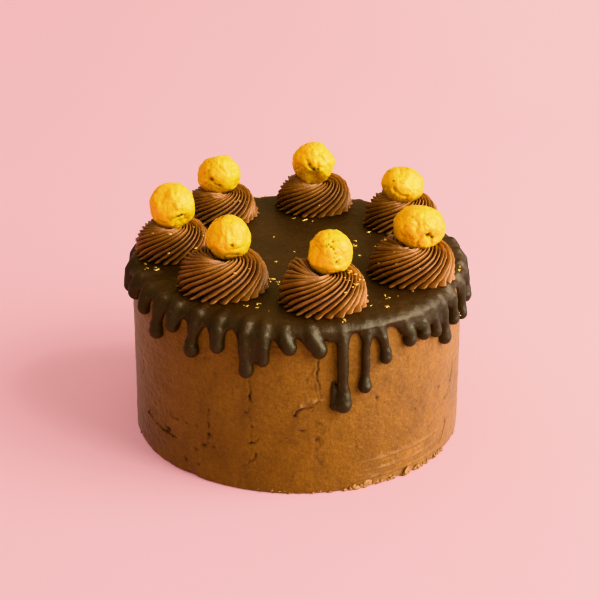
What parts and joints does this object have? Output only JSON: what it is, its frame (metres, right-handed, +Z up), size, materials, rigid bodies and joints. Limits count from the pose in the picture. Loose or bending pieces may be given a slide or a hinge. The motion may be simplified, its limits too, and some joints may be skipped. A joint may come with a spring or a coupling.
{
  "type": "chocolate drip cake",
  "caption": "Round chocolate cake with smooth frosted side, dark ganache drips, and a ring of piped rosettes topped with gold balls.",
  "frame": {"origin": "middle of the cake's flat foot, on the surface it stands on", "axes": "+Z up through the cake, -Y towards the side that the picture shows"},
  "size_m": [0.1759, 0.1762, 0.1262],
  "materials": {
    "frosting": "smooth spatula-finished chocolate buttercream",
    "ganache": "satin dark chocolate ganache",
    "piping": "piped dark chocolate cream, soft sheen",
    "gold": "satin gold dusting on a wrinkled ball"
  },
  "bodies": {
    "root": {"cake_body": "frosting", "ganache": "ganache", "rosette_1": "piping", "rosette_2": "piping", "rosette_3": "piping", "rosette_4": "piping", "rosette_5": "piping", "rosette_6": "piping", "rosette_7": "piping", "gold_ball_1": "gold", "gold_ball_2": "gold", "gold_ball_3": "gold", "gold_ball_4": "gold", "gold_ball_5": "gold", "gold_ball_6": "gold", "gold_ball_7": "gold"}
  },
  "joints": []
}
